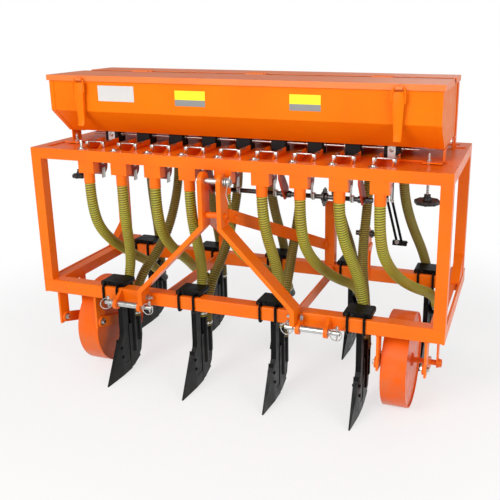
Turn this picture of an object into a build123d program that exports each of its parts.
from build123d import *
import math
import os

os.makedirs("parts", exist_ok=True)

# Driving sizes, millimetres. X runs across the drill, +Y to the rear, Z = 0 is the floor.
frame_width = 1950
frame_depth = 740
rail_over = 60
bar_pitch = 630
share_toe = 85
boot_reach = 228
tool_bar = 65
tool_bar_wall = 5
bar_z = 420
frame_top = 1139
angle_leg = 50
angle_t = 5
plate_t = 10
hitch_x = -30
rows = 9
row_margin = 175
outlet_margin = 291
clearance = 6

bar_top = bar_z + tool_bar
half_width = frame_width / 2
rail_length = frame_depth + rail_over
row_pitch = (frame_width - 2 * row_margin) / (rows - 1)
outlet_pitch = (frame_width - 2 * outlet_margin) / (rows - 1)
front_y = (share_toe - bar_pitch - boot_reach) / 2
bar_half = half_width - plate_t
rear_bar_y = front_y + bar_pitch
frame_rear = front_y + frame_depth
x_plane = Plane.YZ
outlets = [outlet_pitch * (i - (rows - 1) / 2) for i in range(rows)]
tines = [row_pitch * (i - (rows - 1) / 2) for i in range(rows)]


def strip_outline(points, width):
    """Corner points of a mitred strip of one width along a path in a sketch plane."""
    path = [Vector(*p) for p in points]
    left = []
    right = []
    for i, p in enumerate(path):
        before = (p - path[i - 1]).normalized() if i > 0 else (path[1] - p).normalized()
        after = (path[i + 1] - p).normalized() if i < len(path) - 1 else before
        normal = Vector(-before.Y - after.Y, before.X + after.X).normalized()
        reach = width / 2 / max(0.3, normal.dot(Vector(-before.Y, before.X)))
        left.append(p + normal * reach)
        right.append(p - normal * reach)
    return [(q.X, q.Y) for q in left + right[::-1]]


# Tool bars: two square tubes that carry the tines, open through their length.
with BuildPart() as front_bar:
    with BuildSketch(x_plane.offset(-bar_half)):
        with Locations((front_y + tool_bar / 2, bar_z + tool_bar / 2)):
            RectangleRounded(tool_bar, tool_bar, 7)
            Rectangle(tool_bar - 2 * tool_bar_wall, tool_bar - 2 * tool_bar_wall, mode=Mode.SUBTRACT)
    extrude(amount=2 * bar_half)
front_bar.part.label = "front_bar"
export_step(front_bar.part, "parts/front_bar.step")

with BuildPart() as rear_bar:
    with BuildSketch(x_plane.offset(-bar_half)):
        with Locations((rear_bar_y + tool_bar / 2, bar_z + tool_bar / 2)):
            RectangleRounded(tool_bar, tool_bar, 7)
            Rectangle(tool_bar - 2 * tool_bar_wall, tool_bar - 2 * tool_bar_wall, mode=Mode.SUBTRACT)
    extrude(amount=2 * bar_half)
rear_bar.part.label = "rear_bar"
export_step(rear_bar.part, "parts/rear_bar.step")

# Side members of the lower frame: an angle between the bars and a flat plate over their ends.
rail_x = bar_half - plate_t - angle_leg
with BuildPart() as side_rails:
    for side in (-1, 1):
        for y0, y1 in ((front_y + tool_bar, rear_bar_y), (rear_bar_y + tool_bar, front_y + rail_length)):
            with BuildSketch(Plane(origin=(side * rail_x, y0, bar_top), x_dir=(side, 0, 0), z_dir=(0, side, 0))):
                Rectangle(angle_leg, angle_t, align=(Align.MIN, Align.MIN))
                Rectangle(angle_t, angle_leg, align=(Align.MIN, Align.MIN))
            extrude(amount=side * (y1 - y0))
side_rails.part.label = "side_rails"
export_step(side_rails.part, "parts/side_rails.step")

with BuildPart() as side_plates:
    for side in (-1, 1):
        with BuildSketch(x_plane.offset(side * (bar_half + plate_t / 2))):
            with Locations((front_y, bar_z)):
                Rectangle(rail_length, tool_bar, align=(Align.MIN, Align.MIN))
        extrude(amount=plate_t / 2, both=True)
side_plates.part.label = "side_plates"
export_step(side_plates.part, "parts/side_plates.step")

# Upper frame: four angles with their flanges on top, mitred by butting the sides between the ends.
with BuildPart() as top_front_angle:
    with BuildSketch(x_plane.offset(-half_width)):
        with Locations((front_y, frame_top)):
            Rectangle(angle_leg, angle_t, align=(Align.MIN, Align.MAX))
            Rectangle(angle_t, angle_leg, align=(Align.MIN, Align.MAX))
    extrude(amount=frame_width)
top_front_angle.part.label = "top_front_angle"
export_step(top_front_angle.part, "parts/top_front_angle.step")

with BuildPart() as top_rear_angle:
    with BuildSketch(x_plane.offset(-half_width)):
        with Locations((frame_rear, frame_top)):
            Rectangle(angle_leg, angle_t, align=(Align.MAX, Align.MAX))
            Rectangle(angle_t, angle_leg, align=(Align.MAX, Align.MAX))
    extrude(amount=frame_width)
top_rear_angle.part.label = "top_rear_angle"
export_step(top_rear_angle.part, "parts/top_rear_angle.step")

with BuildPart() as top_side_angles:
    for side in (-1, 1):
        with BuildSketch(Plane(origin=(side * half_width, front_y + angle_leg, frame_top), x_dir=(-side, 0, 0), z_dir=(0, -side, 0))):
            Rectangle(angle_leg, angle_t, align=(Align.MIN, Align.MIN))
            Rectangle(angle_t, angle_leg, align=(Align.MIN, Align.MIN))
        extrude(amount=-side * (frame_depth - 2 * angle_leg))
top_side_angles.part.label = "top_side_angles"
export_step(top_side_angles.part, "parts/top_side_angles.step")

# Corner posts: square tube, the front pair on the tool bar, the rear pair on the side plates
# with a gusset that runs forward on to the rear bar.
with BuildPart() as front_posts:
    with BuildSketch(Plane.XY.offset(bar_top)):
        for side in (-1, 1):
            with Locations((side * (half_width - angle_leg / 2), front_y + angle_leg / 2)):
                Rectangle(angle_leg, angle_leg)
                Rectangle(angle_leg - 8, angle_leg - 8, mode=Mode.SUBTRACT)
    extrude(amount=frame_top - angle_t - bar_top)
    with Locations((0, front_y, frame_top - angle_leg)):
        Box(frame_width, angle_t, angle_leg, align=(Align.CENTER, Align.MIN, Align.MIN), mode=Mode.SUBTRACT)
front_posts.part.label = "front_posts"
export_step(front_posts.part, "parts/front_posts.step")

gusset_run = 130
gusset_rise = 110
with BuildPart() as rear_posts:
    with BuildSketch(Plane.XY.offset(bar_top)):
        for side in (-1, 1):
            with Locations((side * (half_width - angle_leg / 2), frame_rear - angle_leg / 2)):
                Rectangle(angle_leg, angle_leg)
                Rectangle(angle_leg - 8, angle_leg - 8, mode=Mode.SUBTRACT)
    extrude(amount=frame_top - angle_t - bar_top)
    with Locations((0, frame_rear, frame_top - angle_leg)):
        Box(frame_width, angle_t, angle_leg, align=(Align.CENTER, Align.MAX, Align.MIN), mode=Mode.SUBTRACT)
    for side in (-1, 1):
        with BuildSketch(x_plane.offset(side * (half_width - angle_leg / 2))):
            Polygon(
                (frame_rear - angle_leg, bar_top),
                (frame_rear - angle_leg, bar_top + gusset_rise),
                (frame_rear - angle_leg - gusset_run, bar_top + 12),
                (frame_rear - angle_leg - gusset_run, bar_top),
                align=None,
            )
        extrude(amount=angle_leg / 2 - 4, both=True)
rear_posts.part.label = "rear_posts"
export_step(rear_posts.part, "parts/rear_posts.step")

# Hitch frame: two flats on edge, upright under the top link and then spread to the tool bar,
# with a welded spacer tube between them.
flat_t = 20
flat_w = 76
top_z = 1050
bend_z = 850
apex_x = 43.5
leg_x = 1.84 * row_pitch
leg_foot_z = 446
top_pin_r = 12.7
with BuildPart() as hitch_frame:
    for side in (-1, 1):
        with BuildSketch(Plane(origin=(hitch_x, front_y, 0), x_dir=(1, 0, 0), z_dir=(0, -1, 0))):
            path = [
                (side * apex_x, top_z + 38),
                (side * apex_x, bend_z),
                (side * leg_x, bar_top + 30),
                (side * leg_x, leg_foot_z),
            ]
            Polygon(*strip_outline(path, flat_t), align=None)
        extrude(amount=flat_w)
    with Locations((hitch_x, front_y - flat_w / 2, top_z - 150)):
        Cylinder(14, 2 * apex_x, rotation=(0, 90, 0))
    with Locations((hitch_x, front_y - flat_w / 2, top_z)):
        Cylinder(top_pin_r + 0.3, 4 * apex_x, rotation=(0, 90, 0), mode=Mode.SUBTRACT)
    with BuildSketch(x_plane.offset(hitch_x - 2 * apex_x)):
        with Locations((front_y - flat_w / 2, top_z)):
            Rectangle(flat_w + 2, 80, align=(Align.CENTER, Align.MIN))
            Circle(flat_w / 2, mode=Mode.SUBTRACT)
    extrude(amount=4 * apex_x, mode=Mode.SUBTRACT)
hitch_frame.part.label = "hitch_frame"
export_step(hitch_frame.part, "parts/hitch_frame.step")

with BuildPart() as top_link_pin:
    with BuildSketch(x_plane.offset(hitch_x - apex_x - flat_t / 2 - 12)):
        with Locations((front_y - flat_w / 2, top_z)):
            Circle(20)
    extrude(amount=11.7)
    with BuildSketch(x_plane.offset(hitch_x - apex_x - flat_t / 2 - 12)):
        with Locations((front_y - flat_w / 2, top_z)):
            Circle(top_pin_r)
    extrude(amount=2 * apex_x + flat_t + 12 + 34)
top_link_pin.part.label = "top_link_pin"
export_step(top_link_pin.part, "parts/top_link_pin.step")

# Hitch ears on the tool bar and the stepped pins through them. The free outer ends are category 1.
ear_t = 16
ear_inner = leg_x + flat_t / 2 + ear_t / 2
ear_outer = 3 * row_pitch - 88
ear_x = (ear_inner + ear_outer) / 2
ear_gap = (ear_outer - ear_inner) / 2
ear_r = 26
pin_y = front_y - 42
pin_z = 428
pin_r = 14
stub_r = 11
stub_l = 48
with BuildPart() as hitch_ears:
    for side in (-1, 1):
        for edge in (-1, 1):
            with BuildSketch(x_plane.offset(hitch_x + side * ear_x + edge * ear_gap - ear_t / 2)):
                with BuildLine():
                    Polyline(
                        (pin_y, pin_z - ear_r),
                        (front_y, pin_z - ear_r + 12),
                        (front_y, bar_top - 4),
                        (pin_y - 4, pin_z + ear_r),
                    )
                    ThreePointArc(
                        (pin_y - 4, pin_z + ear_r),
                        (pin_y - ear_r - 2, pin_z),
                        (pin_y, pin_z - ear_r),
                    )
                make_face()
                with Locations((pin_y, pin_z)):
                    Circle(pin_r + 0.3, mode=Mode.SUBTRACT)
            extrude(amount=ear_t)
hitch_ears.part.label = "hitch_ears"
export_step(hitch_ears.part, "parts/hitch_ears.step")

pin_half = ear_gap + ear_t / 2 + 4
with BuildPart() as lower_pins:
    for side in (-1, 1):
        with Locations((hitch_x + side * ear_x, pin_y, pin_z)):
            Cylinder(pin_r, 2 * pin_half, rotation=(0, 90, 0))
            Cylinder(stub_r, 2 * (pin_half + stub_l), rotation=(0, 90, 0))
lower_pins.part.label = "lower_pins"
export_step(lower_pins.part, "parts/lower_pins.step")

# Uprights on the rear bar and the flat braces that run to them from the hitch frame.
upright_x = 1.85 * row_pitch - 70
upright_w = row_pitch / 4
upright_z = (602, 825)
with BuildPart() as rear_uprights:
    for side, top in ((-1, upright_z[0]), (1, upright_z[1])):
        with BuildSketch(Plane.XY.offset(bar_top)):
            with Locations((side * upright_x, rear_bar_y + tool_bar / 2)):
                Rectangle(upright_w, angle_leg)
                with Locations((-4 * side, 4)):
                    Rectangle(upright_w, angle_leg, mode=Mode.SUBTRACT)
        extrude(amount=top - bar_top)
rear_uprights.part.label = "rear_uprights"
export_step(rear_uprights.part, "parts/rear_uprights.step")

brace_w = 55
brace_t = 8
brace_from_z = 895
brace_to_z = 590
brace_cut = (frame_width, 100, 400)
with BuildPart() as upper_braces:
    for side in (-1, 1):
        start = Vector(hitch_x + side * (apex_x + flat_t / 2 - 2), front_y, brace_from_z)
        end = Vector(side * (upright_x - 10), rear_bar_y + 7.5, brace_to_z)
        run = (end - start).normalized()
        flat = Vector(0, 0, 1).cross(run).normalized()
        with BuildSketch(Plane(origin=start - run * 30, x_dir=flat, z_dir=run)):
            Rectangle(brace_t, brace_w)
        extrude(amount=(end - start).length + 60)
    with Locations((0, front_y, brace_from_z)):
        Box(*brace_cut, align=(Align.CENTER, Align.MAX, Align.CENTER), mode=Mode.SUBTRACT)
    with Locations((0, rear_bar_y + 7.5, brace_to_z)):
        Box(*brace_cut, align=(Align.CENTER, Align.MIN, Align.CENTER), mode=Mode.SUBTRACT)
upper_braces.part.label = "upper_braces"
export_step(upper_braces.part, "parts/upper_braces.step")

strut_x = upright_x + 25
with BuildPart() as lower_struts:
    for side in (-1, 1):
        with BuildSketch(Plane(origin=(0, front_y + tool_bar, 0), x_dir=(-1, 0, 0), z_dir=(0, 1, 0))):
            with Locations((-side * strut_x, bar_top - 28)):
                Rectangle(10, 50)
        extrude(amount=rear_bar_y - front_y - tool_bar)
lower_struts.part.label = "lower_struts"
export_step(lower_struts.part, "parts/lower_struts.step")

# Feed rails: two flats across the frame that carry the feed cups and the feet of the hopper,
# with a sheet deck between them.
rail_y = (230, frame_depth - 205)
rail_w = 75
rail_t = 10
deck_t = 3
lid_half = half_width - 59
screw_x = lid_half - 66
screw_y = front_y + 190
screw_r = 5
screw_foot = 965
with BuildPart() as feed_rails:
    for y in rail_y:
        with Locations((0, front_y + y, frame_top)):
            Box(frame_width - 2 * angle_leg, rail_w, rail_t, align=(Align.CENTER, Align.MIN, Align.MAX))
    with Locations((0, front_y + rail_y[0] + rail_w, frame_top)):
        Box(
            frame_width - 2 * angle_leg,
            rail_y[1] - rail_y[0] - rail_w,
            deck_t,
            align=(Align.CENTER, Align.MIN, Align.MAX),
        )
feed_rails.part.label = "feed_rails"
export_step(feed_rails.part, "parts/feed_rails.step")

# Hopper: folded sheet with two troughs, open on top, and the wall between seed and fertiliser.
# The end sheets run straight across below the ridge between the troughs.
sheet = 3
lid_gap = 6
hopper_half = lid_half - sheet - lid_gap
hopper_front = front_y + 95
hopper_rear = frame_rear - 119
hopper_mid = front_y + 415
hopper_bend = 1305
hopper_floor = 1196
rim_z = 1463.5
trough_run = 122
trough_w = 84
ridge_rise = 95
with BuildPart() as hopper_shell:
    with BuildSketch(x_plane.offset(-hopper_half)) as hopper_profile:
        with BuildLine():
            Polyline(
                (hopper_front, rim_z),
                (hopper_front, hopper_bend),
                (hopper_front + trough_run, hopper_floor),
                (hopper_front + trough_run + trough_w, hopper_floor),
                (hopper_mid, hopper_floor + ridge_rise),
                (hopper_rear - trough_w, hopper_floor),
                (hopper_rear, hopper_floor),
                (hopper_rear, rim_z),
                close=True,
            )
        make_face()
    extrude(amount=2 * hopper_half)
    with BuildSketch(x_plane.offset(-hopper_half + sheet)):
        add(hopper_profile.sketch_local)
        offset(amount=-sheet, kind=Kind.INTERSECTION, mode=Mode.REPLACE)
        with Locations(((hopper_front + hopper_rear) / 2, rim_z)):
            Rectangle(hopper_rear - hopper_front - 2 * sheet, 80)
    extrude(amount=2 * (hopper_half - sheet), mode=Mode.SUBTRACT)
    for side in (-1, 1):
        with BuildSketch(x_plane.offset(side * (hopper_half - sheet / 2))):
            Polygon(
                (hopper_front + trough_run + trough_w, hopper_floor),
                (hopper_mid, hopper_floor + ridge_rise),
                (hopper_rear - trough_w, hopper_floor),
                align=None,
            )
        extrude(amount=sheet / 2, both=True)
hopper_shell.part.label = "hopper_shell"
export_step(hopper_shell.part, "parts/hopper_shell.step")

ridge_z = 1452
with BuildPart() as hopper_divider:
    with Locations((0, hopper_mid, ridge_z)):
        Box(2 * (hopper_half - sheet), sheet, ridge_z - hopper_floor - ridge_rise - 5, align=(Align.CENTER, Align.CENTER, Align.MAX))
hopper_divider.part.label = "hopper_divider"
export_step(hopper_divider.part, "parts/hopper_divider.step")

# Lids: both hinge on the centre strip. Ears and pins belong to the strip, barrels to the lids.
hinge_y = 20
hinge_z = 1466
hinge_pin_r = 3
hinge_r = 6
hinge_fit = 0.05
hinge_half = 14.7
ear_len = 30
hinges = (316 - lid_half, 0, lid_half - 316)
lid_top = 1467
lid_front_y = front_y + 86
lid_rear_y = frame_rear - 110
lid_flange = 25
latch_x = lid_half - 181
keeper_z = 1446
keeper_reach = 14
keeper_w = 28
with BuildPart() as lid_strip:
    with Locations((0, hopper_mid, ridge_z)):
        Box(2 * (hopper_half - sheet), 2 * hinge_y + 2 * hinge_r, 6, align=(Align.CENTER, Align.CENTER, Align.MIN))
    for side in (-1, 1):
        for x in hinges:
            for edge in (-1, 1):
                with BuildSketch(x_plane.offset(x + edge * (15 + ear_len / 2))):
                    with Locations((hopper_mid + side * hinge_y, hinge_z)):
                        Circle(hinge_r)
                        Rectangle(2 * hinge_r, hinge_z - ridge_z - 3, align=(Align.CENTER, Align.MAX))
                extrude(amount=ear_len / 2, both=True)
            with Locations((x, hopper_mid + side * hinge_y, hinge_z)):
                Cylinder(hinge_pin_r, 60, rotation=(0, 90, 0))
lid_strip.part.label = "lid_strip"
export_step(lid_strip.part, "parts/lid_strip.step")

lids = []
for side, edge_y, name in ((-1, lid_front_y, "lid_front"), (1, lid_rear_y, "lid_rear")):
    axis_y = hopper_mid + side * hinge_y
    inner_y = axis_y + side * (hinge_r + 4)
    depth = abs(edge_y - inner_y)
    with BuildPart() as lid:
        with BuildSketch(Plane.XY.offset(lid_top - sheet)):
            with Locations((0, (edge_y + inner_y) / 2)):
                Rectangle(2 * lid_half, depth)
        extrude(amount=sheet)
        with BuildSketch(Plane.XY.offset(lid_top - lid_flange)):
            with Locations((0, (edge_y + inner_y) / 2)):
                Rectangle(2 * lid_half, depth)
            with Locations((0, (edge_y + inner_y) / 2 - side * sheet)):
                Rectangle(2 * (lid_half - sheet), depth, mode=Mode.SUBTRACT)
        extrude(amount=lid_flange)
        for x in hinges:
            with BuildSketch(x_plane.offset(x)):
                with Locations((axis_y, hinge_z)):
                    Circle(hinge_r)
                with Locations(((axis_y + inner_y) / 2, lid_top - sheet / 2)):
                    Rectangle(abs(inner_y - axis_y) + 4, sheet)
            extrude(amount=hinge_half, both=True)
            with Locations((x, axis_y, hinge_z)):
                Cylinder(hinge_pin_r + hinge_fit, 40, rotation=(0, 90, 0), mode=Mode.SUBTRACT)
        if name == "lid_front":
            for x in (-latch_x, latch_x):
                with BuildSketch(x_plane.offset(x)):
                    Polygon(
                        (edge_y, keeper_z),
                        (edge_y - keeper_reach, keeper_z),
                        (edge_y - keeper_reach, keeper_z + 12),
                        (edge_y - keeper_reach + sheet, keeper_z + 12),
                        (edge_y - keeper_reach + sheet, keeper_z + sheet),
                        (edge_y, keeper_z + sheet),
                        align=None,
                    )
                extrude(amount=keeper_w / 2, both=True)
    lid.part.label = name
    lids.append(lid)
export_step(lids[0].part, "parts/lid_front.step")
export_step(lids[1].part, "parts/lid_rear.step")

# Toggle latches: tapered channels, each on a bracket below the rim, that pull down the lid's keepers.
latch_top = 1434
latch_foot = 1250
latch_top_w = 46
latch_foot_w = 30
latch_depth = 12
latch_gap = clearance
with BuildPart() as lid_latches:
    for side in (-1, 1):
        x = side * latch_x
        with BuildSketch(Plane.XZ.offset(latch_gap - hopper_front)):
            Polygon(
                (x - latch_top_w / 2, latch_top),
                (x + latch_top_w / 2, latch_top),
                (x + latch_foot_w / 2, latch_foot),
                (x - latch_foot_w / 2, latch_foot),
                align=None,
            )
        extrude(amount=latch_depth)
        with BuildSketch(Plane.XZ.offset(latch_gap - hopper_front)):
            Polygon(
                (x - latch_top_w / 2 + sheet, latch_top),
                (x + latch_top_w / 2 - sheet, latch_top),
                (x + latch_foot_w / 2 - sheet, latch_foot),
                (x - latch_foot_w / 2 + sheet, latch_foot),
                align=None,
            )
        extrude(amount=latch_depth - sheet, mode=Mode.SUBTRACT)
        with Locations((x, hopper_front, latch_top - 8)):
            Box(
                latch_foot_w,
                latch_gap + latch_depth - sheet,
                34,
                align=(Align.CENTER, Align.MAX, Align.MAX),
            )
lid_latches.part.label = "lid_latches"
export_step(lid_latches.part, "parts/lid_latches.step")

# Feet of the hopper on the feed rails and the rear corner angles that reach the side flanges.
with BuildPart() as hopper_legs:
    for side in (-1, 1):
        for y in rail_y:
            with BuildSketch(Plane(origin=(0, front_y + y, 0), x_dir=(1, 0, 0), z_dir=(0, -1, 0))):
                with Locations((side * (hopper_half - 35), hopper_floor - 2.5), (side * (hopper_half - 40), frame_top + 2.5)):
                    Rectangle(80, 5)
                with Locations((side * (hopper_half - 2.5), (hopper_floor + frame_top) / 2)):
                    Rectangle(5, hopper_floor - frame_top)
            extrude(amount=-rail_w + 5)
        with Locations((side * (hopper_half - 40), front_y + rail_y[0], frame_top)):
            Box(80, front_y + rail_y[0] - screw_y + 22, 5, align=(Align.CENTER, Align.MAX, Align.MIN))
        with BuildSketch(Plane.XY.offset(frame_top)):
            with Locations((side * (hopper_half + 2.5), hopper_rear - 20)):
                Rectangle(5, 40)
        extrude(amount=lid_top - lid_flange - clearance - frame_top)
        with Locations((side * (hopper_half + 26), hopper_rear - 20, frame_top)):
            Box(52, 40, 5, align=(Align.CENTER, Align.CENTER, Align.MIN))
    with Locations((screw_x, screw_y, frame_top), (-screw_x, screw_y, frame_top)):
        Cylinder(screw_r + 0.5, 40, mode=Mode.SUBTRACT)
hopper_legs.part.label = "hopper_legs"
export_step(hopper_legs.part, "parts/hopper_legs.step")

# Hand screws at both ends: threaded rod, two nuts and a hand wheel below.
with BuildPart() as hand_screws:
    for side, wheel_r in ((-1, 35), (1, 50)):
        with Locations((side * screw_x, screw_y, screw_foot)):
            Cylinder(screw_r, hopper_floor - 16 - screw_foot, align=(Align.CENTER, Align.CENTER, Align.MIN))
            Cylinder(wheel_r, 16, align=(Align.CENTER, Align.CENTER, Align.MIN))
            Cylinder(14, 40, align=(Align.CENTER, Align.CENTER, Align.MIN))
        with BuildSketch(Plane.XY.offset(frame_top - 9)):
            with Locations((side * screw_x, screw_y)):
                RegularPolygon(11, 6)
        extrude(amount=9)
        with BuildSketch(Plane.XY.offset(frame_top + 5)):
            with Locations((side * screw_x, screw_y)):
                RegularPolygon(11, 6)
        extrude(amount=9)
hand_screws.part.label = "hand_screws"
export_step(hand_screws.part, "parts/hand_screws.step")

# Feed cups under both troughs, and the deck with open trays that lead to the outlets.
cup = 66
tray_w = 80
tray_t = 3
tray_rise = 26
tray_ramp = 55
tray_drop = 38
with BuildPart() as feed_cups:
    for x in outlets:
        for y in rail_y:
            with Locations((x, front_y + y + rail_w / 2, frame_top)):
                Box(cup, cup, hopper_floor - frame_top, align=(Align.CENTER, Align.CENTER, Align.MIN))
feed_cups.part.label = "feed_cups"
export_step(feed_cups.part, "parts/feed_cups.step")

with BuildPart() as feed_trays:
    near = front_y + angle_leg
    far = front_y + rail_y[0]
    with Locations((0, near, frame_top)):
        Box(outlets[-1] - outlets[0] + tray_w, far - near, tray_t, align=(Align.CENTER, Align.MIN, Align.MAX))
    for x in outlets:
        with BuildSketch(x_plane.offset(x)):
            Polygon(
                (near, frame_top),
                (near + tray_ramp, frame_top + tray_rise),
                (far, frame_top + tray_rise),
                (far, frame_top - 12),
                (near + 10, frame_top - tray_drop),
                (near, frame_top - tray_drop),
                align=None,
            )
        extrude(amount=tray_w / 2, both=True)
        with BuildSketch(x_plane.offset(x)):
            Polygon(
                (near, frame_top + tray_rise),
                (far, frame_top + tray_rise),
                (far, frame_top - 12 + tray_t),
                (near + 10, frame_top - tray_drop + tray_t),
                (near, frame_top - tray_drop + tray_t),
                align=None,
            )
        extrude(amount=tray_w / 2 - tray_t, both=True, mode=Mode.SUBTRACT)
feed_trays.part.label = "feed_trays"
export_step(feed_trays.part, "parts/feed_trays.step")

# Outlet boxes under the flanges, with the rounded metering housing behind and the hose neck below.
box_bottom = 1033
neck_bottom = 985
neck_r = 25
neck_bore = 21
box_d = angle_leg - angle_t
box_y = (front_y + angle_t + box_d / 2, front_y + rail_y[1] + rail_w / 2)
box_top = (frame_top - angle_t, frame_top - rail_t)
with BuildPart() as outlet_boxes:
    for x in outlets:
        for y, top in zip(box_y, box_top):
            with BuildSketch(Plane.XY.offset(box_bottom)):
                with Locations((x, y)):
                    Rectangle(tray_w, box_d)
            extrude(amount=top - box_bottom)
            with Locations((x, y, top - 4)):
                Box(tray_w - 8, box_d - 8, top - box_bottom - 10, align=(Align.CENTER, Align.CENTER, Align.MAX), mode=Mode.SUBTRACT)
            with Locations((x, y, neck_bottom)):
                Cylinder(neck_r, box_bottom - neck_bottom, align=(Align.CENTER, Align.CENTER, Align.MIN))
                Cylinder(neck_bore, box_bottom - neck_bottom + 20, align=(Align.CENTER, Align.CENTER, Align.MIN), mode=Mode.SUBTRACT)
        with Locations((x, box_y[0] + box_d / 2, frame_top - 40)):
            Box(tray_w - 8, 20, 26, align=(Align.CENTER, Align.CENTER, Align.MIN), mode=Mode.SUBTRACT)
outlet_boxes.part.label = "outlet_boxes"
export_step(outlet_boxes.part, "parts/outlet_boxes.step")

house_front = front_y + angle_t + box_d
house_top = frame_top - 44
with BuildPart() as metering_housings:
    for x in outlets:
        with BuildSketch(x_plane.offset(x)):
            with BuildLine():
                Line((house_front, house_top), (house_front + 85, house_top))
                Line((house_front + 85, house_top), (house_front + 85, house_top - 45))
                ThreePointArc(
                    (house_front + 85, house_top - 45),
                    (house_front + 72, house_top - 72),
                    (house_front + 45, house_top - 84),
                )
                Line((house_front + 45, house_top - 84), (house_front, house_top - 58))
                Line((house_front, house_top - 58), (house_front, house_top))
            make_face()
        extrude(amount=30, both=True)
metering_housings.part.label = "metering_housings"
export_step(metering_housings.part, "parts/metering_housings.step")

# Feed shaft with its sprocket and collars, running in three hanger plates under the front flange.
shaft_y = front_y + 95
shaft_z = 985
shaft_r = 10
hangers = (-0.5 * outlet_pitch, 1.5 * outlet_pitch, 3.5 * outlet_pitch)
shaft_from = hangers[0] - 64.5
shaft_to = hangers[2] + 41.5
sprocket_x = 2.5 * outlet_pitch + 2.5
sprocket_teeth = 16
sprocket_root = 35
tooth = 6
with BuildPart() as shaft_hangers:
    for x in hangers:
        with BuildSketch(x_plane.offset(x)):
            Polygon(
                (front_y + angle_t, frame_top - angle_t),
                (front_y + angle_leg, frame_top - angle_t),
                (front_y + 60, frame_top - 60),
                (shaft_y + 24, shaft_z + 26),
                (shaft_y + 24, shaft_z - 16),
                (shaft_y - 20, shaft_z - 20),
                (front_y + angle_t, frame_top - 70),
                align=None,
            )
            with Locations((shaft_y, shaft_z)):
                Circle(shaft_r + hinge_fit, mode=Mode.SUBTRACT)
        extrude(amount=4, both=True)
shaft_hangers.part.label = "shaft_hangers"
export_step(shaft_hangers.part, "parts/shaft_hangers.step")

with BuildPart() as feed_shaft:
    with BuildSketch(x_plane.offset(shaft_from)):
        with Locations((shaft_y, shaft_z)):
            Circle(shaft_r)
    extrude(amount=shaft_to - shaft_from)
    for x in hangers:
        with Locations((x + 4 + clearance + 6, shaft_y, shaft_z), (x - 4 - clearance - 6, shaft_y, shaft_z)):
            Cylinder(15, 12, rotation=(0, 90, 0))
    with BuildSketch(x_plane.offset(sprocket_x)):
        with Locations((shaft_y, shaft_z)):
            Circle(sprocket_root)
            with PolarLocations(sprocket_root, sprocket_teeth):
                Trapezoid(9, 2 * tooth, 70, rotation=-90)
    extrude(amount=3, both=True)
    with Locations((sprocket_x, shaft_y, shaft_z)):
        Cylinder(18, 26, rotation=(0, 90, 0))
feed_shaft.part.label = "feed_shaft"
export_step(feed_shaft.part, "parts/feed_shaft.step")

# Bearing stand on the rear bar: bracket, pillow block and the short drive shaft in it.
stand_x = 2 * row_pitch + 90
stand_y = rear_bar_y + 20
bearing_z = 668
jack_r = 12.5
with BuildPart() as bearing_stand:
    with BuildSketch(x_plane.offset(stand_x)):
        Polygon(
            (rear_bar_y - 4, bar_top - 30),
            (rear_bar_y - 14, bar_top - 30),
            (rear_bar_y - 14, bearing_z - 60),
            (stand_y + 48, bearing_z - 60),
            (stand_y + 48, bearing_z - 70),
            (rear_bar_y - 4, bar_top + 30),
            align=None,
        )
    extrude(amount=24, both=True)
    with Locations((stand_x, rear_bar_y - 4, bar_top - 30)):
        Box(60, 4, 130, align=(Align.CENTER, Align.MIN, Align.MIN))
    with BuildSketch(x_plane.offset(stand_x)):
        with Locations((stand_y, bearing_z)):
            Circle(32)
            Rectangle(64, 40, align=(Align.CENTER, Align.MAX))
        with Locations((stand_y, bearing_z - 50)):
            Rectangle(104, 20)
    extrude(amount=17, both=True)
    with Locations((stand_x, stand_y, bearing_z)):
        Cylinder(jack_r + hinge_fit, 80, rotation=(0, 90, 0), mode=Mode.SUBTRACT)
bearing_stand.part.label = "bearing_stand"
export_step(bearing_stand.part, "parts/bearing_stand.step")

with BuildPart() as drive_shaft:
    with Locations((stand_x + 2, stand_y, bearing_z)):
        Cylinder(jack_r, 110, rotation=(0, 90, 0))
    with Locations((stand_x - 17 - clearance - 6, stand_y, bearing_z), (stand_x + 17 + clearance + 6, stand_y, bearing_z)):
        Cylinder(20, 12, rotation=(0, 90, 0))
drive_shaft.part.label = "drive_shaft"
export_step(drive_shaft.part, "parts/drive_shaft.step")

# Feed rate lever: two flat links from the rear flange down to their clamp block.
lever_x = 3.5 * outlet_pitch + 12
lever_y = front_y + rail_y[1] + rail_w + 2
lever_bend = 860
lever_foot = 640
lever_kick = 57
link_gap = 12
with BuildPart() as rate_lever:
    for x in (lever_x - link_gap, lever_x + link_gap):
        with BuildSketch(Plane(origin=(0, lever_y, 0), x_dir=(1, 0, 0), z_dir=(0, -1, 0))):
            path = [(x, frame_top - rail_t), (x, lever_bend), (x + lever_kick, lever_foot)]
            Polygon(*strip_outline(path, 12), align=None)
        extrude(amount=3, both=True)
    with Locations((lever_x + lever_kick, lever_y, lever_foot + 6)):
        Box(70, 22, 22)
rate_lever.part.label = "rate_lever"
export_step(rate_lever.part, "parts/rate_lever.step")

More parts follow.
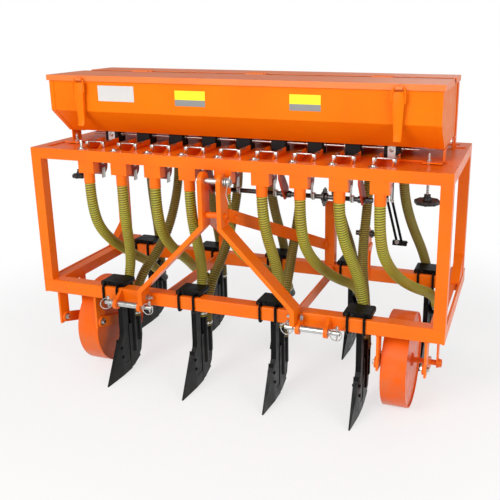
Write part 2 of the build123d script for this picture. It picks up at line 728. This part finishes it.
# Tines: a flat shank clamped behind the bar, with two seed tubes in a tapering boot.
shank_t = 25
shank_w = 45
boot_half = 15
tube_r = 23
tube_bore = 20
tube_y = (boot_reach - tube_r - 50, boot_reach - tube_r)
tube_top = (333, 262)
tube_foot = (90, 130)
boot_rear = boot_reach
inlet_x = 46
inlet_side = (1, 1, -1, 1, 1, 1, 1, 1, 1)
inlet_y = tool_bar + shank_w - 15
inlet_z = 294
inlet_in = 0.12
inlet_back = 0.76
inlet_down = 0.64
bars = [rear_bar_y if i % 2 == 0 else front_y for i in range(rows)]
with BuildPart() as tine_shanks:
    for x, bar_y, side in zip(tines, bars, inlet_side):
        with BuildSketch(x_plane.offset(x)):
            Polygon(
                (bar_y + tool_bar, bar_top),
                (bar_y + tool_bar + shank_w, bar_top),
                (bar_y + tool_bar + shank_w, 60),
                (bar_y + tool_bar - 5, 60),
                (bar_y + tool_bar - 19, 184),
                (bar_y + tool_bar - 4, 206),
                (bar_y + tool_bar, 232),
                align=None,
            )
        extrude(amount=shank_t / 2, both=True)
        with BuildSketch(x_plane.offset(x)):
            Polygon(
                (bar_y + tool_bar + shank_w, 250),
                (bar_y + boot_rear, 250),
                (bar_y + boot_rear, 145),
                (bar_y + boot_rear - 18, 72),
                (bar_y + boot_rear - 36, 52),
                (bar_y + boot_rear - 28, 42),
                (bar_y + tool_bar + shank_w + 30, 16),
                (bar_y + tool_bar + shank_w, 12),
                align=None,
            )
        extrude(amount=boot_half, both=True)
        for y, top, foot in zip(tube_y, tube_top, tube_foot):
            with Locations((x, bar_y + y, foot)):
                Cylinder(tube_r, top - foot, align=(Align.CENTER, Align.CENTER, Align.MIN))
        if bar_y == rear_bar_y:
            inlet_run = Vector(-inlet_in * side, inlet_back, -inlet_down).normalized()
            with BuildSketch(Plane(origin=(x + side * inlet_x, bar_y + inlet_y, inlet_z), z_dir=inlet_run)):
                Circle(tube_r)
            extrude(amount=96)
            with BuildSketch(Plane(origin=(x + side * inlet_x, bar_y + inlet_y, inlet_z), z_dir=inlet_run)):
                Circle(tube_bore)
            extrude(amount=80, mode=Mode.SUBTRACT)
        else:
            with Locations((x, bar_y + tube_y[0], tube_foot[0] + 20)):
                Cylinder(tube_bore, tube_top[0] - tube_foot[0] - 20, align=(Align.CENTER, Align.CENTER, Align.MIN), mode=Mode.SUBTRACT)
        with Locations((x, bar_y + tube_y[1], tube_foot[1] + 20)):
            Cylinder(tube_bore, tube_top[1] - tube_foot[1] - 20, align=(Align.CENTER, Align.CENTER, Align.MIN), mode=Mode.SUBTRACT)
tine_shanks.part.label = "tine_shanks"
export_step(tine_shanks.part, "parts/tine_shanks.step")

# Shares: a tapered point bolted on the front of each shank, down to the floor.
share_half = 14
with BuildPart() as tine_shares:
    for x, bar_y in zip(tines, bars):
        toe_y = bar_y - share_toe
        with BuildSketch(x_plane.offset(x)):
            Polygon(
                (toe_y, 0),
                (bar_y + tool_bar - 36, 178),
                (bar_y + tool_bar - 31, 196),
                (bar_y + tool_bar - 19, 184),
                (bar_y + tool_bar - 5, 60),
                (bar_y + tool_bar + shank_w, 60),
                (bar_y + tool_bar + shank_w, 12),
                (bar_y + tool_bar + shank_w + 12, 6),
                align=None,
            )
        extrude(amount=share_half, both=True)
        with BuildSketch(Plane.XY):
            for edge in (-1, 1):
                Polygon(
                    (x + edge * (share_half + 1), bar_y + 40),
                    (x + edge * (share_half + 1), toe_y - 5),
                    (x + edge * 3, toe_y - 5),
                    (x + edge * share_half, bar_y + 40),
                    align=None,
                )
        extrude(amount=400, mode=Mode.SUBTRACT)
tine_shares.part.label = "tine_shares"
export_step(tine_shares.part, "parts/tine_shares.step")

# Tine clamps: two round U-bolts round the bar, through a rear plate with nuts, and the head they hold.
clamp_half = row_pitch / 5 + 22
clamp_bolt = 12
clamp_x = 37
head_t = 22
head_y = 18
head_round = 9
back_t = 8
nut_r = 10
nut_t = 9
with BuildPart() as tine_clamps:
    for x, bar_y in zip(tines, bars):
        back = bar_y + tool_bar + shank_w
        with BuildSketch(Plane(origin=(x, bar_y + head_y, bar_top), x_dir=(1, 0, 0), z_dir=(0, -1, 0))):
            RectangleRounded(2 * clamp_half, 2 * head_t, head_round)
            Rectangle(2 * clamp_half, head_t, align=(Align.CENTER, Align.MAX), mode=Mode.SUBTRACT)
        extrude(amount=-(tool_bar + shank_w + back_t - head_y))
        with BuildSketch(x_plane.offset(x)):
            with Locations((back, bar_top)):
                Rectangle(back_t, tool_bar + 2 * clamp_bolt, align=(Align.MIN, Align.MAX))
        extrude(amount=clamp_x + clamp_bolt, both=True)
        for edge in (-1, 1):
            bolt_x = x + edge * clamp_x
            high = bar_top + clamp_bolt / 2
            low = bar_z - clamp_bolt / 2
            end = back + back_t + nut_t + 5
            with BuildLine() as u_path:
                FilletPolyline(
                    (bolt_x, end, low),
                    (bolt_x, bar_y - clamp_bolt / 2, low),
                    (bolt_x, bar_y - clamp_bolt / 2, high),
                    (bolt_x, bar_y + head_y + 10, high),
                    radius=clamp_bolt,
                )
            with BuildSketch(Plane(origin=(bolt_x, end, low), z_dir=(0, -1, 0))):
                Circle(clamp_bolt / 2)
            sweep(path=u_path.line)
            with BuildSketch(Plane(origin=(bolt_x, back + back_t, low), z_dir=(0, 1, 0))):
                RegularPolygon(nut_r, 6)
            extrude(amount=nut_t)
tine_clamps.part.label = "tine_clamps"
export_step(tine_clamps.part, "parts/tine_clamps.step")

# Ground wheels: closed steel drums, a disc set into each side and a drain hole in the inner disc,
# turning on fixed axles.
wheel_r = 218
wheel_w = 112
wheel_x = half_width - 213
wheel_y = front_y + 236
axle_r = 12.5
rim_t = 6
disc_t = 4
disc_in = 7
hub_r = 30
tube_t = 8
drain_r = 7
wheel_nodes = []
for side, name in ((-1, "wheel_left"), (1, "wheel_right")):
    with BuildPart() as wheel:
        with BuildSketch(x_plane.offset(side * wheel_x)):
            with Locations((wheel_y, wheel_r)):
                Circle(wheel_r)
                Circle(wheel_r - rim_t, mode=Mode.SUBTRACT)
        extrude(amount=wheel_w / 2, both=True)
        for edge in (-1, 1):
            with BuildSketch(x_plane.offset(side * wheel_x + edge * (wheel_w / 2 - disc_in - disc_t / 2))):
                with Locations((wheel_y, wheel_r)):
                    Circle(wheel_r - rim_t)
                if edge == -side:
                    with Locations((wheel_y, wheel_r + 2.2 * hub_r)):
                        Circle(drain_r, mode=Mode.SUBTRACT)
            extrude(amount=disc_t / 2, both=True)
        with Locations((side * wheel_x, wheel_y, wheel_r)):
            Cylinder(hub_r - tube_t, wheel_w + 4, rotation=(0, 90, 0))
        for edge in (-1, 1):
            with Locations((side * wheel_x + edge * (wheel_w / 2 - disc_in), wheel_y, wheel_r)):
                Cylinder(hub_r, 2 * disc_in, rotation=(0, 90, 0))
        with Locations((side * wheel_x, wheel_y, wheel_r)):
            Cylinder(axle_r + hinge_fit, wheel_w + 20, rotation=(0, 90, 0), mode=Mode.SUBTRACT)
    wheel.part.label = name
    wheel_nodes.append(wheel)
export_step(wheel_nodes[0].part, "parts/wheel_left.step")
export_step(wheel_nodes[1].part, "parts/wheel_right.step")

# Wheel carriers: straps down from the bar, and forks of two arms with the axle and a depth link.
strap_in = wheel_x - 72
strap_out = wheel_x + 133
strap_t = 10
strap_z = 258
pivot_y = front_y + 32
pivot_z = 284
link_x = wheel_x + 163
with BuildPart() as wheel_straps:
    for side in (-1, 1):
        for x in (strap_in, strap_out):
            with BuildSketch(x_plane.offset(side * (x + strap_t / 2))):
                with Locations((front_y, strap_z)):
                    Rectangle(tool_bar, bar_z - strap_z, align=(Align.MIN, Align.MIN))
            extrude(amount=strap_t / 2, both=True)
wheel_straps.part.label = "wheel_straps"
export_step(wheel_straps.part, "parts/wheel_straps.step")

with BuildPart() as wheel_forks:
    for side in (-1, 1):
        for x in (strap_in - strap_t, strap_out - strap_t):
            with BuildSketch(x_plane.offset(side * (x + strap_t / 2))):
                with Locations(((pivot_y + wheel_y) / 2, (pivot_z + wheel_r) / 2)):
                    SlotCenterToCenter(
                        math.hypot(wheel_y - pivot_y, wheel_r - pivot_z),
                        50,
                        rotation=math.degrees(math.atan2(wheel_r - pivot_z, wheel_y - pivot_y)),
                    )
            extrude(amount=strap_t / 2, both=True)
        with Locations((side * (strap_in - strap_t + link_x + 20) / 2, wheel_y, wheel_r)):
            Cylinder(axle_r, link_x + 20 - strap_in + strap_t, rotation=(0, 90, 0))
        with BuildSketch(x_plane.offset(side * link_x)):
            with Locations((wheel_y, wheel_r - 14)):
                Rectangle(40, bar_top - angle_t - wheel_r + 14, align=(Align.CENTER, Align.MIN))
        extrude(amount=4, both=True)
wheel_forks.part.label = "wheel_forks"
export_step(wheel_forks.part, "parts/wheel_forks.step")

# Seed and fertiliser hoses: straight runs joined by tangent arcs, from each neck to its boot tube.
hose_r = 23


# Routes as shares of the way from neck to boot: across, to the rear, and down.
to_front_tine = ((0.0, 0.0, 0.19), (0.75, 1.10, 0.60), (1.0, 1.0, 0.82))
under_rear_bar = ((0.0, 0.0, 0.21), (0.10, 0.147, 0.43), (0.35, 0.534, 0.69))
back_to_front_tine = ((0.0, 0.0, 0.16), (0.1, 0.44, 0.533), (1.0, 1.0, 0.768))
to_rear_tine = ((0.0, 0.0, 0.186), (1.0, 1.0, 0.753))
inlet_reach = 160


def between(start, end, shares):
    return [
        Vector(
            start.X + (end.X - start.X) * across,
            start.Y + (end.Y - start.Y) * along,
            start.Z + (end.Z - start.Z) * down,
        )
        for across, along, down in shares
    ]


def bend_radii(points):
    radii = []
    for a, b, c in zip(points, points[1:], points[2:]):
        turn = math.radians((b - a).get_angle(c - b))
        radii.append(0.45 * min((b - a).length, (c - b).length) / math.tan(turn / 2))
    return radii


with BuildPart() as hoses_front:
    expected = 0
    for x, tine_x, bar_y, side in zip(outlets, tines, bars, inlet_side):
        start = Vector(x, box_y[0], neck_bottom)
        if bar_y == front_y:
            end = Vector(tine_x, bar_y + tube_y[0], tube_top[0])
            points = [start] + between(start, end, to_front_tine) + [end]
        else:
            end = Vector(tine_x + side * inlet_x, bar_y + inlet_y, inlet_z)
            inlet_run = Vector(-inlet_in * side, inlet_back, -inlet_down).normalized()
            reach = end - inlet_run * inlet_reach
            shares = [(s * (reach.X - x) / (end.X - x), t, d) for s, t, d in under_rear_bar]
            points = [start] + between(start, end, shares) + [reach, end]
        radii = bend_radii(points)
        with BuildLine() as path:
            FilletPolyline(*points, radius=radii)
        with BuildSketch(Plane(origin=start, z_dir=points[1] - points[0])):
            Circle(hose_r)
        sweep(path=path.line)
        length = sum(edge.length for edge in path.edges())
        expected += math.pi * hose_r**2 * length
        print("front hose", round(x), "length", round(length), "radii", [round(r) for r in radii])
hoses_front.part.label = "hoses_front"
export_step(hoses_front.part, "parts/hoses_front.step")
print("hoses_front volume", round(hoses_front.part.volume), "section x length", round(expected))

with BuildPart() as hoses_rear:
    expected = 0
    for x, tine_x, bar_y in zip(outlets, tines, bars):
        start = Vector(x, box_y[1], neck_bottom)
        end = Vector(tine_x, bar_y + tube_y[1], tube_top[1])
        shares = back_to_front_tine if bar_y == front_y else to_rear_tine
        points = [start] + between(start, end, shares) + [end]
        radii = bend_radii(points)
        with BuildLine() as path:
            FilletPolyline(*points, radius=radii)
        with BuildSketch(Plane(origin=start, z_dir=points[1] - points[0])):
            Circle(hose_r)
        sweep(path=path.line)
        length = sum(edge.length for edge in path.edges())
        expected += math.pi * hose_r**2 * length
        print("rear hose", round(x), "length", round(length), "radii", [round(r) for r in radii])
hoses_rear.part.label = "hoses_rear"
export_step(hoses_rear.part, "parts/hoses_rear.step")
print("hoses_rear volume", round(hoses_rear.part.volume), "section x length", round(expected))
